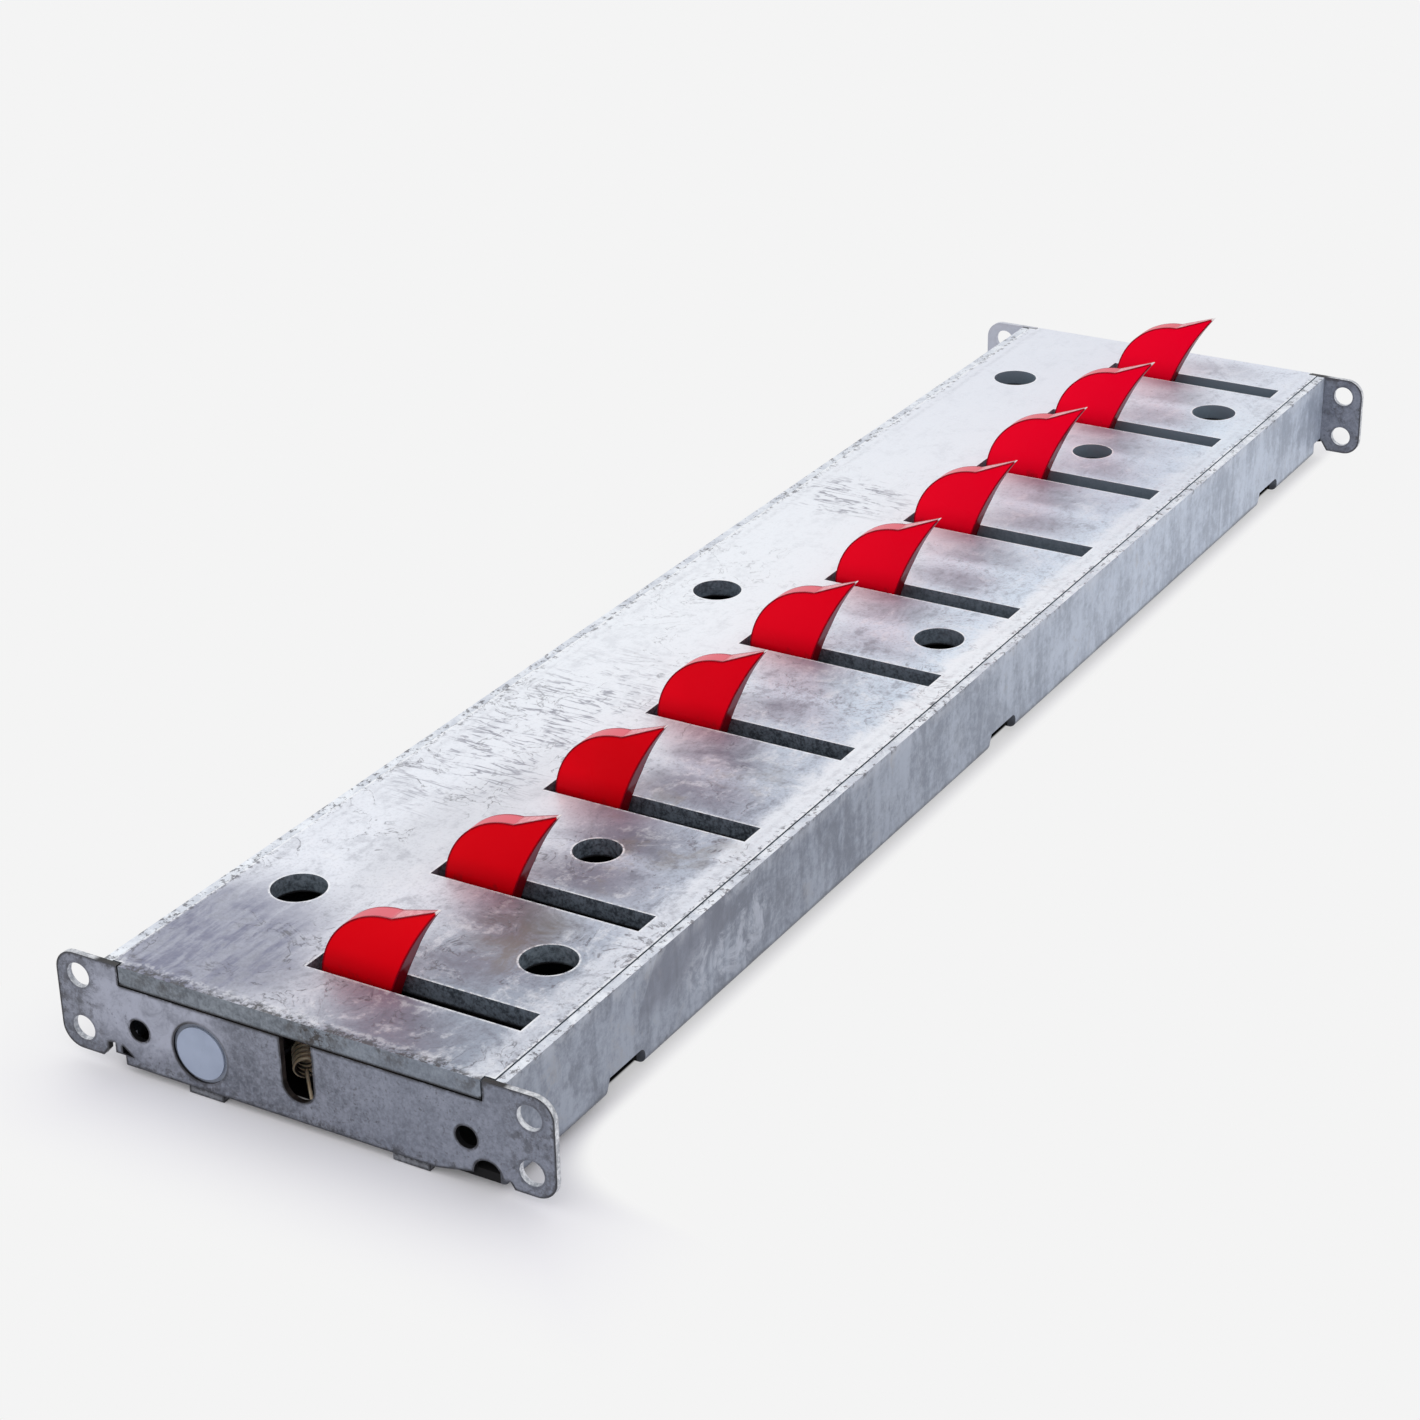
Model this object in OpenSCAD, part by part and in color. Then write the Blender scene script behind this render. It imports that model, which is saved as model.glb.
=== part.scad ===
// One-way tyre spike strip: a surface-mounted steel module with a row of sprung teeth.
// X runs along the strip, the tooth tips point to -Y, Z is up, and the strip stands on Z = 0.

/* [Module] */
// Length of the module over its two end plates
module_l = 1000; // [800:10:1400]
// Number of teeth in the module
tooth_n = 10; // [4:1:12]
// Height of the top surface above the road
deck_z = 57; // [54:0.5:66]
// Width over the two side walls
body_w = 223; // [215:1:260]
// How far the ears of an end plate stand out beyond the side walls
ear_w = 27; // [24:1:50]

/* [Cover plate] */
// Thickness of the cover plate
cover_t = 10; // [6:0.5:12]
// Gap between the cover plate and each side wall
cover_gap = 0.5; // [0.2:0.1:1.5]
// Distance of the tongue that fills the notch of an end plate from each outer side
tongue_in = 11; // [9.5:0.5:20]
// Gap between the tongue and the notch of the end plate
tongue_gap = 0.8; // [0.4:0.1:2]
// Width of a tooth slot
slot_w = 16; // [14:0.5:22]
// Where a tooth slot ends behind the tooth
slot_back_y = 24; // [20:0.5:30]
// How far a tooth slot runs on beyond the tip of a pressed tooth
slot_spare = 17.6; // [4:0.2:20]
// Diameter of the holes that give access to the ground anchors
access_d = 28; // [22:0.5:32]
// Diameter of the two drain holes near the middle of the cover
drain_d = 25; // [16:0.5:28]
// Distance of the near drain hole from the middle line
drain_near_y = 35; // [28:0.5:40]
// Distance of the far drain hole from the middle line
drain_far_y = 30; // [28:0.5:40]

/* [Side channels] */
// Thickness of the folded side channels
wall_t = 5; // [3:0.5:6]
// Outside radius of the fold
fold_r = 4; // [2:0.5:4.5]
// How far the wall tops lie below the top surface
wall_drop = 0.5; // [0:0.1:2]
// Width of the foot flanges
flange_w = 51.5; // [49:0.5:54]
// Distance of the ground anchors from the outer side of a wall
anchor_in = 40; // [33:0.5:42]
// Diameter of the ground anchor holes
anchor_d = 14; // [10:0.5:16]
// Length of the drain notches in the wall feet
notch_l = 34; // [20:1:50]
// Height of the drain notches above the flange
notch_h = 4.5; // [2:0.5:12]
// Length of the relief cut at the channel ends
relief_l = 12; // [6:1:20]

/* [Foot strips] */
// Thickness of the foot strips
foot_t = 3.5; // [2:0.5:6]
// Width of a foot strip
foot_w = 20; // [14:1:24]
// Distance of the middle of the left foot strip from the outer side of its wall
foot_left_in = 57; // [54:0.5:59]
// Distance of the middle of the right foot strip from the outer side of its wall
foot_right_in = 50.8; // [47:0.2:55]

/* [End plates] */
// Thickness of the end plates and ribs
plate_t = 3; // [2:0.5:5]
// Radius of the ear corners
ear_r = 11; // [6:0.5:14]
// Height of the underside of the ears
ear_foot_z = 5; // [3:0.5:8]
// Distance of the joining bolt holes from the outer side of a wall
bolt_out = 14; // [11:0.5:16]
// Height of the lower joining bolt holes
bolt_low_z = 16.75; // [16:0.25:20]
// Distance between the two bolt holes of an ear
bolt_rise = 28.5; // [24:0.5:30]
// Diameter of the joining bolt holes
bolt_d = 13; // [9:0.5:14]
// Distance of the alignment holes from the outer side of a wall
dowel_in = 20; // [17:0.5:26]
// Height of the alignment holes
dowel_z = 24.75; // [22:0.25:28]
// Diameter of the alignment holes
dowel_d = 11.5; // [8:0.5:13]
// Diameter of the fold relief holes
corner_d = 15; // [10:0.5:16]
// Distance of the fold relief holes from the outer side of a wall
corner_in = 9.5; // [8:0.5:12]
// Width of the U-shaped spring openings
hook_w = 17.5; // [14:0.5:22]

/* [Pivot] */
// Distance of the pivot shaft from the middle line
pivot_y = 56; // [55:0.5:57]
// Height of the pivot shaft
pivot_z = 23; // [22.5:0.25:24]
// Diameter of the pivot shaft
shaft_d = 12; // [8:0.5:12]
// Outer diameter of the nylon sleeves
sleeve_d = 16; // [14.5:0.5:18]
// Running clearance of a tooth on its sleeve, on the radius
run_gap = 0.08; // [0.02:0.01:0.1]
// Clearance of the pieces that sit on the shaft, on the radius
seat_gap = 0.03; // [0.01:0.01:0.05]
// Outer diameter of the shaft collars
collar_d = 24; // [20:0.5:26]
// Width of a shaft collar
collar_w = 8; // [5:0.5:10]
// Side play of a tooth between its collars
side_play = 1; // [0.5:0.1:2]
// Diameter of the end bushes in the end plates
bush_d = 31; // [26:0.5:32]
// Diameter of the white face of an end bush
face_d = 27; // [20:0.5:28]
// Depth of the groove round that face
face_groove = 1.2; // [0.5:0.1:2]
// Diameter of the bush boss that holds the shaft
boss_d = 26; // [18:0.5:27]
// Length of the bush boss that holds the shaft
boss_l = 10; // [6:0.5:14]

/* [Teeth] */
// Thickness of a tooth
tooth_t = 10; // [6:0.5:12]
// Thickness that the ground tip keeps
tip_t = 2; // [1:0.1:4]
// Height of the tooth tip above the top surface
tip_rise = 47.5; // [40:0.5:52]
// Distance of the tooth tip from the middle line
tip_y = 51.5; // [49:0.5:54]
// Height of the hollow behind the tip above the top surface
dip_rise = 36.4; // [35:0.1:38]
// Distance of the hollow behind the tip from the middle line
dip_y = 24.5; // [23:0.5:27]
// Radius of the rounded tooth back
back_r = 42; // [40:0.5:44]
// Distance of the tooth front from the middle line at the top surface
front_y = 23; // [22:0.2:26]
// Radius of the hollow tooth front
front_r = 166; // [120:2:240]
// Radius of the tooth hub
hub_r = 13.5; // [12:0.25:13.5]
// Gap between the tooth shoulder and the cover plate
stop_gap = 0.4; // [0.3:0.1:1]
// How far an end tooth turns until it lies flush
tooth_swing = 26; // [24:1:28]
// How many degrees higher than the end teeth their neighbours stand
next_lift = 0.5; // [0:0.1:2]
// How many degrees higher than the end teeth all the other teeth stand
middle_lift = 1.9; // [0:0.1:2]

/* [Springs] */
// Wire diameter of a return spring
wire_d = 2; // [1.6:0.1:2.4]
// Mean radius of the curls
curl_r = 5.6; // [4.6:0.1:6.2]
// Number of curls
curl_n = 5; // [4:1:6]
// Advance of one curl
curl_pitch = 3.4; // [3:0.05:3.6]
// Length of the wire between the curls and the spring eye
tail_l = 10; // [8:0.5:12]
// Distance of the front leg's end from the middle line
hook_y = 3; // [0:0.5:5]
// Distance of the spring eye on the tooth from the middle line
eye_y = 31; // [30:0.25:33]
// Height of the spring eye on the tooth
eye_z = 16; // [15.5:0.25:17]
// Diameter of the spring eye
eye_d = 3.4; // [3:0.1:4]
// Radius of the tooth metal round the spring eye
eye_rim = 4.5; // [4:0.25:5]

/* [Hidden] */
$fn = 64;
eps = 0.01;
left = 1;
right = -1;
near = -1;
far = 1;

tooth_pitch = module_l / tooth_n;
wall_y = body_w / 2;
inner_y = wall_y - wall_t;
cover_y = inner_y - cover_gap;
under_z = deck_z - cover_t;
flange_z = foot_t + wall_t;
end_x = module_l / 2;
inside_x = end_x - plate_t;
ear_y = wall_y + ear_w;
tongue_y = wall_y - tongue_in;
flange_edge_y = wall_y - flange_w;
anchor_y = wall_y - anchor_in;
foot_left_y = wall_y - foot_left_in;
foot_right_y = wall_y - foot_right_in;
bolt_y = wall_y + bolt_out;
dowel_y = wall_y - dowel_in;

function tooth_x(k) = (k - (tooth_n + 1) / 2) * tooth_pitch;
function bay_x(k) = tooth_x(k) - tooth_pitch / 2;
function rim(c, r, a) = [c[0] + r * cos(a), c[1] + r * sin(a)];
function unit(v) = v / norm(v);

// How much higher than the end teeth tooth k stands, in degrees
function lift(k) = let (from_end = min(k, tooth_n + 1 - k))
    from_end == 1 ? 0 : from_end == 2 ? next_lift : middle_lift;
// A place of a tooth, turned about the pivot by that much: a positive angle presses the tooth down
function turned(p, a) = [pivot[0] + (p[0] - pivot[0]) * cos(a) - (p[1] - pivot[1]) * sin(a),
    pivot[1] + (p[0] - pivot[0]) * sin(a) + (p[1] - pivot[1]) * cos(a)];

// The ground anchors stand under ribs: one pitch from each end and near the middle
anchor_xs = [bay_x(2), bay_x(floor(tooth_n / 2) + 1), bay_x(tooth_n)];

// The places of the tooth that the cover and the tooth share
pivot = [pivot_y, pivot_z];
tip = [-tip_y, deck_z + tip_rise];
slot_front_y = turned(tip, tooth_swing)[0] - slot_spare;

// Turns an outline drawn in Y and Z into a plate that starts at x
module across(x, t) {
    translate([x, 0, 0]) rotate([90, 0, 90]) linear_extrude(t) children();
}

// A cylinder along X round the pivot axis
module on_pivot(x, d, l) {
    translate([x, pivot_y, pivot_z]) rotate([0, 90, 0]) cylinder(d = d, h = l);
}

// A square between two corners of an outline
module block(a, b) {
    translate(a) square([b[0] - a[0], b[1] - a[1]]);
}

// Cover plate
// The tongues fill the notches of the end plates, and the shoulders stop behind the plates
module cover_outline() {
    block([-end_x, -tongue_y], [end_x, tongue_y]);
    block([-inside_x + tongue_gap, -cover_y], [inside_x - tongue_gap, cover_y]);
}

module cover_holes() {
    for (k = [1:tooth_n])
        translate([tooth_x(k) - slot_w / 2, slot_front_y]) square([slot_w, slot_back_y - slot_front_y]);
    for (x = anchor_xs, side = [left, right])
        translate([x, side * anchor_y]) circle(d = access_d);
    translate([bay_x(3), -drain_near_y]) circle(d = drain_d);
    translate([bay_x(tooth_n - 1), -drain_far_y]) circle(d = drain_d);
}

module cover_plate() {
    color("#c3c7ce") translate([0, 0, under_z]) linear_extrude(cover_t) difference() {
        cover_outline();
        cover_holes();
    }
}

// Side channels
// Each is a wall and a foot flange, folded from one sheet
module channel_outline() {
    block([inner_y, foot_t + fold_r], [wall_y, deck_z - wall_drop]);
    block([flange_edge_y, foot_t], [wall_y - fold_r, flange_z]);
    intersection() {
        translate([wall_y - fold_r, foot_t + fold_r]) circle(r = fold_r);
        block([wall_y - fold_r, foot_t - eps], [wall_y + eps, foot_t + fold_r]);
    }
}

// A drain notch, open at the foot: one end is slanted, the other ends in a rounded corner
module drain_notch(x) {
    half = notch_l / 2;
    top_z = flange_z + notch_h;
    round_r = notch_h;
    translate([x, wall_y + eps, 0]) rotate([90, 0, 0]) linear_extrude(wall_t + fold_r) {
        polygon([[half, 0], [half, top_z - round_r], [half - round_r, top_z], [3 - half, top_z],
                 [-half, foot_t + 2], [-half, 0]]);
        translate([half - round_r, top_z - round_r]) circle(r = round_r);
    }
}

module side_channel(side, reliefs) {
    mirror([0, side == left ? 0 : 1, 0]) difference() {
        across(-inside_x, 2 * inside_x) channel_outline();
        for (x = anchor_xs) {
            drain_notch(x);
            translate([x, anchor_y, 0]) cylinder(d = anchor_d, h = flange_z + 1);
        }
        for (e = reliefs)
            translate([e * inside_x - relief_l, dowel_y + dowel_d / 2, 0])
                cube([2 * relief_l, wall_y, flange_z + notch_h]);
    }
}

module side_channel_left() { color("#b4b9c1") side_channel(left, [near, far]); }
module side_channel_right() { color("#b4b9c1") side_channel(right, [far]); }

// Foot strips
module foot_strip(y) {
    color("#8d9299") translate([-end_x, y - foot_w / 2, 0]) cube([module_l, foot_w, foot_t]);
}

module foot_strip_left() { foot_strip(foot_left_y); }
module foot_strip_right() { foot_strip(-foot_right_y); }

// End plates
// The ears carry the bolts that join one module to the next
module ear_outline() {
    block([-ear_y + ear_r, ear_foot_z], [ear_y - ear_r, deck_z]);
    block([-ear_y, ear_foot_z + ear_r], [ear_y, deck_z - ear_r]);
    for (y = [-ear_y + ear_r, ear_y - ear_r], z = [ear_foot_z + ear_r, deck_z - ear_r])
        translate([y, z]) circle(r = ear_r);
}

// The U-shaped opening where a return spring hooks on, open at the top
module hook_opening() {
    translate([0, pivot_z]) circle(d = hook_w);
    block([-hook_w / 2, pivot_z], [hook_w / 2, deck_z + 1]);
}

// The left foot corner: a narrow notch, a step and a three-cornered hole beside the fold
module left_corner_cuts() {
    step_y = inner_y - wall_t;
    top_z = flange_z + wall_t;
    block([step_y, foot_t - 1], [inner_y + 1, flange_z]);
    polygon([[inner_y + 0.8, foot_t - 1], [inner_y + 0.8, top_z + 0.4], [wall_y - 0.3, top_z - 0.4],
             [wall_y, flange_z + 0.5], [wall_y + 3.5, ear_foot_z], [wall_y + 3.5, foot_t - 1]]);
    polygon([[step_y + 1.6, top_z + 0.2], [step_y - 5.2, flange_z], [step_y + 1.6, flange_z + 0.8]]);
}

// The right foot corner: the edge rises over the flange and ends in a notch beside the ear
module right_corner_cuts(notch_y, notch_z) {
    strip_y = -foot_right_y - foot_w / 2 - 4;
    polygon([[strip_y, foot_t], [-dowel_y - 2, flange_z - 1], [-wall_y, notch_z - 0.4],
             [-wall_y - notch_y, notch_z], [-wall_y - 4.6, ear_foot_z], [-wall_y - 4.6, foot_t - 1],
             [strip_y, foot_t - 1]]);
    translate([corner_in - wall_y, flange_z - 0.4]) circle(d = corner_d);
}

module end_plate(x, notch_y, notch_z) {
    seat_y = tongue_y + tongue_gap;
    color("#9aa0a8") across(x, plate_t) difference() {
        union() {
            ear_outline();
            block([-wall_y, foot_t], [wall_y, deck_z - cover_t]);
        }
        block([-seat_y, under_z - tongue_gap], [seat_y, deck_z + 1]);
        hook_opening();
        translate([pivot_y, pivot_z]) circle(d = bush_d);
        for (side = [left, right]) {
            translate([side * dowel_y, dowel_z]) circle(d = dowel_d);
            for (z = [bolt_low_z, bolt_low_z + bolt_rise])
                translate([side * bolt_y, z]) circle(d = bolt_d);
        }
        left_corner_cuts();
        right_corner_cuts(notch_y, notch_z);
    }
}

module end_plate_near() { end_plate(-end_x, 2.4, flange_z); }
module end_plate_far() { end_plate(inside_x, 0.7, flange_z + 2.5); }

// Ribs
// Each carries the cover between two teeth, guides the shaft and holds the front leg of a spring
module rib(k) {
    x = bay_x(k + 1);
    at_anchor = min([for (a = anchor_xs) abs(x - a)]) < plate_t;
    drain_y = k == 2 ? drain_near_y : drain_far_y;
    side_y = at_anchor ? anchor_y - access_d / 2 - 1.5 : inner_y;
    color("#a7adb5") across(x, plate_t) difference() {
        union() {
            block([-side_y, flange_z], [side_y, under_z]);
            block([-min(side_y, flange_edge_y), foot_t], [min(side_y, flange_edge_y), under_z]);
        }
        hook_opening();
        if (at_anchor) translate([pivot_y, pivot_z]) circle(d = shaft_d + 4);
        else translate([pivot_y, pivot_z]) circle(d = shaft_d + 2 * seat_gap);
        if (k == 2 || k == tooth_n - 2)
            block([-drain_y - drain_d / 2 - 1, pivot_z], [-drain_y + drain_d / 2 + 1, deck_z]);
    }
}

// Pivot shaft, its end bushes, sleeves and collars
module pivot_shaft() {
    color("#aab0b8") on_pivot(-inside_x + 1, shaft_d, 2 * inside_x - 2);
}

// The white face is flush with the end plate, inside a shallow groove
module end_bush(side) {
    color("#eceef2") mirror([side == near ? 0 : 1, 0, 0]) difference() {
        union() {
            on_pivot(-end_x, face_d, plate_t);
            on_pivot(-end_x + face_groove, bush_d - 2 * seat_gap, plate_t - face_groove);
            on_pivot(-inside_x - eps, boss_d, boss_l + eps);
        }
        on_pivot(-inside_x + 1, shaft_d + 2 * seat_gap, boss_l);
    }
}

module end_bush_near() { end_bush(near); }
module end_bush_far() { end_bush(far); }

sleeve_l = tooth_t + 2 * side_play;

module pivot_sleeves() {
    color("#dfe2e6") for (k = [1:tooth_n]) difference() {
        on_pivot(tooth_x(k) - sleeve_l / 2, sleeve_d, sleeve_l);
        on_pivot(tooth_x(k) - sleeve_l / 2 - 1, shaft_d + 2 * seat_gap, sleeve_l + 2);
    }
}

module shaft_collars() {
    color("#7d8288") for (k = [1:tooth_n], x = [-sleeve_l / 2 - collar_w, sleeve_l / 2]) difference() {
        on_pivot(tooth_x(k) + x, collar_d, collar_w);
        on_pivot(tooth_x(k) + x - 1, shaft_d + 2 * seat_gap, collar_w + 2);
    }
}

// Teeth
// A claw on a lever: the hub turns on the shaft, the shoulder stops under the cover plate
eye = [eye_y, eye_z];
dip = [-dip_y, deck_z + dip_rise];
front = [-front_y, deck_z];
shoulder_z = under_z - stop_gap;

// The centre of the hollow front: front_r away from the tip and from the front at the top surface
front_mid = (tip + front) / 2;
front_half = norm(tip - front) / 2;
front_dir = unit([front[1] - tip[1], tip[0] - front[0]]);
front_c = front_mid + front_dir * sqrt(front_r * front_r - front_half * front_half);

// The centre of the rounded back, straight below the hollow
back_c = dip - [0, back_r];

// The lower edge clears the road when the tooth is pressed down
belly = [-front_y + 2.8, under_z - 6];
grip = 0.92;
eye_in = eye_rim * grip;
hub_in = hub_r * grip;
belly_turn = atan2(belly[1] - eye[1], belly[0] - eye[0]) + acos(eye_in / norm(belly - eye));
hub_turn = atan2(pivot[1] - eye[1], pivot[0] - eye[0]) - acos((eye_in - hub_in) / norm(pivot - eye));

// The claw: a rounded back and a straight crest that runs out over the tip
module claw_outline() {
    crest = unit(tip - dip);
    intersection() {
        translate(back_c) circle(r = back_r, $fn = 128);
        block([tip[0] - back_r, belly[1]], [slot_back_y, tip[1]]);
    }
    polygon([tip + 3 * crest, [front[0] - 12, deck_z], [belly[0] - 6, belly[1]], [0, belly[1]],
             [0, deck_z], dip - 9 * crest]);
}

// The lever: from under the claw past the spring eye to the hub, with the shoulder that stops the tooth
module lever_outline(lift) {
    polygon([[belly[0] - 3, belly[1]], belly, rim(eye, eye_in, belly_turn), eye, rim(eye, eye_in, hub_turn),
             rim(pivot, hub_in, hub_turn), pivot, rim(pivot, hub_in, 55),
             turned([pivot_y - 9, shoulder_z], lift), turned([belly[0] - 3, shoulder_z], lift)]);
    translate(eye) circle(r = eye_rim);
    translate(pivot) circle(r = hub_r);
}

module tooth_outline(lift) {
    difference() {
        union() {
            claw_outline();
            lever_outline(lift);
        }
        translate(front_c) circle(r = front_r, $fn = 256);
    }
}

// The flat that thins the far side of the claw: from the hollow and the front down to the tip
ground_foot = [-30, deck_z + 13];
ground_turn = atan2(ground_foot[0] - dip[0], dip[1] - ground_foot[1]);
ground_reach = (ground_foot[0] - tip[0]) * cos(ground_turn) + (ground_foot[1] - tip[1]) * sin(ground_turn);

module ground_off() {
    translate([tooth_t / 2, ground_foot[0], ground_foot[1]]) rotate([ground_turn, 0, 0])
        rotate([0, 0, -atan((tooth_t - tip_t) / ground_reach)])
        translate([0, -tip_rise, -tip_rise]) cube([2 * tooth_t, tip_rise, 2 * tip_rise]);
}

module tooth(k) {
    color("#d8141c") translate([tooth_x(k), pivot_y, pivot_z]) rotate([-lift(k), 0, 0])
        translate([0, -pivot_y, -pivot_z]) difference() {
            across(-tooth_t / 2, tooth_t) difference() {
                tooth_outline(lift(k));
                translate(pivot) circle(d = sleeve_d + 2 * run_gap);
                translate(eye) circle(d = eye_d);
            }
            ground_off();
        }
}

// Return springs
// Each is one wire: a straight leg from the plate in front, the curls, and an end in the eye of its tooth
leg_end = [plate_t, -hook_y, pivot_z - hook_w / 2 - wire_d / 2 - 0.5];
bend = [wire_d, 0, 0];
ring_n = 8;
wire_sides = 6;

function eye_end(k) = let (p = turned(eye, -lift(k))) [tooth_pitch / 2 - tooth_t / 2, p[0], p[1]];
function across_wire(d) = unit(cross(d, [0, 0, 1]));

// A point t curls after c, r from the axis of the curls, which run along d
function curl_point(c, d, t, r) = let (side = across_wire(d))
    c + d * (curl_pitch * t) + r * (side * cos(360 * t) + cross(side, d) * sin(360 * t));

function wire_path(last) = let (
    d = unit(last - leg_end),
    leg_l = norm(last - leg_end) - curl_n * curl_pitch - tail_l - wire_d,
    c = leg_end + d * (leg_l + wire_d)
) concat(
    [leg_end, leg_end + bend, leg_end + bend + d * 1.5, leg_end + d * leg_l],
    [for (i = [1:3]) curl_point(c, d, (i - 4) / 12, curl_r * (i - 0.4) / 3.6)],
    [for (i = [0:curl_n * ring_n]) curl_point(c, d, i / ring_n, curl_r)],
    [for (i = [1:3]) curl_point(c, d, curl_n + i / 12, curl_r * (3.6 - i) / 3.6)],
    [last - bend - d * 1.5, last - bend, last, last + bend]
);

// Sweeps a six-sided wire along a path, carrying the first direction along without a twist
function path_dirs(path) = let (last = len(path) - 1)
    [for (i = [0:last]) unit(path[min(i + 1, last)] - path[max(i - 1, 0)])];
function carried(v, d) = unit(v - d * (v * d));
function path_normals(dirs, i, v) = i == len(dirs) ? [] :
    let (n = carried(v, dirs[i])) concat([n], path_normals(dirs, i + 1, n));

module wire(path) {
    dirs = path_dirs(path);
    normals = path_normals(dirs, 0, [0, 0, 1]);
    points = [for (i = [0:len(path) - 1], s = [0:wire_sides - 1])
        let (a = 360 * s / wire_sides, b = cross(dirs[i], normals[i]))
        path[i] + wire_d / 2 * (normals[i] * cos(a) + b * sin(a))];
    sides = [for (i = [0:len(path) - 2], s = [0:wire_sides - 1])
        let (p = i * wire_sides, q = (s + 1) % wire_sides)
        each [[p + s, p + wire_sides + s, p + wire_sides + q], [p + s, p + wire_sides + q, p + q]]];
    last = (len(path) - 1) * wire_sides;
    caps = [for (s = [1:wire_sides - 2])
        each [[0, s, s + 1], [last, last + s + 1, last + s]]];
    polyhedron(points, concat(sides, caps));
}

module return_spring(k) {
    color("#b9a27c") translate([bay_x(k), 0, 0]) wire(wire_path(eye_end(k)));
}

first_path = wire_path(eye_end(1));
wire_gap = min([for (i = [0:len(first_path) - 1], j = [i + ring_n / 2:len(first_path) - 1])
    if (j < len(first_path)) norm(first_path[i] - first_path[j])]) - wire_d;
echo(least_wire_gap = wire_gap);

// Assembly
cover_plate();
side_channel_left();
side_channel_right();
end_plate_near();
end_plate_far();
foot_strip_left();
foot_strip_right();
pivot_shaft();
end_bush_near();
end_bush_far();
pivot_sleeves();
shaft_collars();
for (k = [1:tooth_n - 1]) rib(k);
for (k = [1:tooth_n]) tooth(k);
for (k = [1:tooth_n]) return_spring(k);
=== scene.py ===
import bpy
import math
from mathutils import Matrix, Vector


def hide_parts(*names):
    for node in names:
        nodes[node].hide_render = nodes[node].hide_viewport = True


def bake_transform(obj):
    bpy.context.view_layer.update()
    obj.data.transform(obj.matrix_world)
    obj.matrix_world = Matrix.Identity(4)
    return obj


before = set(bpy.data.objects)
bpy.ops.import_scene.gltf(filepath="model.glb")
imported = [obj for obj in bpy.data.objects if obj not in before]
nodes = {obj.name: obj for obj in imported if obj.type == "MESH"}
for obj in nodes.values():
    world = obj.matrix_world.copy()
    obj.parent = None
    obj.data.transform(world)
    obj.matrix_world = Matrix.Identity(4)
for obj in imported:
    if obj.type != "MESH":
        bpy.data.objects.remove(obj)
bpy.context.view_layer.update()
scene = bpy.context.scene

# Sizes that the scene shares with the part, in metres: X runs along the strip, the tooth tips point to -Y
END_X = 0.5  # outer face of an end plate
PLATE = 0.003  # thickness of an end plate
UNDER_Z = 0.047  # underside of the cover
WALL_IN, WALL_TOP = 0.1065, 0.0565  # inner face and top of a side wall
PITCH, TEETH = 0.1, 10
PIVOT, EYE = (0.056, 0.023), (0.031, 0.016)  # shaft, and spring eye of an end tooth, in Y and Z
NEXT_LIFT, MIDDLE_LIFT = 0.5, 1.9  # degrees by which the teeth between the end ones stand higher
ACCESS = (0.4, 0.0715)  # access holes near the ends, in X and Y
BOLT_Y, BOLT_HEIGHTS = 0.1255, (0.01675, 0.04525)  # joining holes in the ears

# Camera, measured on the photograph: degrees, metres, and the focal length in pixels of its frame
CAMERA_TURN, CAMERA_DOWN, CAMERA_ROLL = 30.796, 25.986, -1.171
CAMERA_AT = (-1.449293, -0.785785, 0.800744)
FOCAL_PIXELS, FRAME_PIXELS, SENSOR = 3185.09, 1420.0, 36.0

# An edge starts to show, and shows in full, at these cosines of the rounded surface's turn
EDGE_FROM, EDGE_FULL = 0.998, 0.955

# Colours that are used more than once
WHITE = (0.905, 0.905, 0.905, 1)
UNLIT = (0.006, 0.006, 0.007)
SHADE_BLACK = (0.02, 0.02, 0.022)


def make_camera():
    turn, down, roll = (math.radians(a) for a in (CAMERA_TURN, CAMERA_DOWN, CAMERA_ROLL))
    ahead = Vector((math.cos(down) * math.cos(turn), math.cos(down) * math.sin(turn), -math.sin(down)))
    level = Vector((math.sin(turn), -math.cos(turn), 0.0))
    upright = level.cross(ahead)
    right = math.cos(roll) * level + math.sin(roll) * upright
    up = -math.sin(roll) * level + math.cos(roll) * upright
    data = bpy.data.cameras.new("camera")
    data.sensor_width = SENSOR
    data.lens = FOCAL_PIXELS * SENSOR / FRAME_PIXELS
    data.clip_start, data.clip_end = 0.05, 60.0
    cam = bpy.data.objects.new("camera", data)
    rows = [(right[i], up[i], -ahead[i], CAMERA_AT[i]) for i in range(3)]
    cam.matrix_world = Matrix((*rows, (0, 0, 0, 1)))
    scene.collection.objects.link(cam)
    scene.camera = cam


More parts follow.
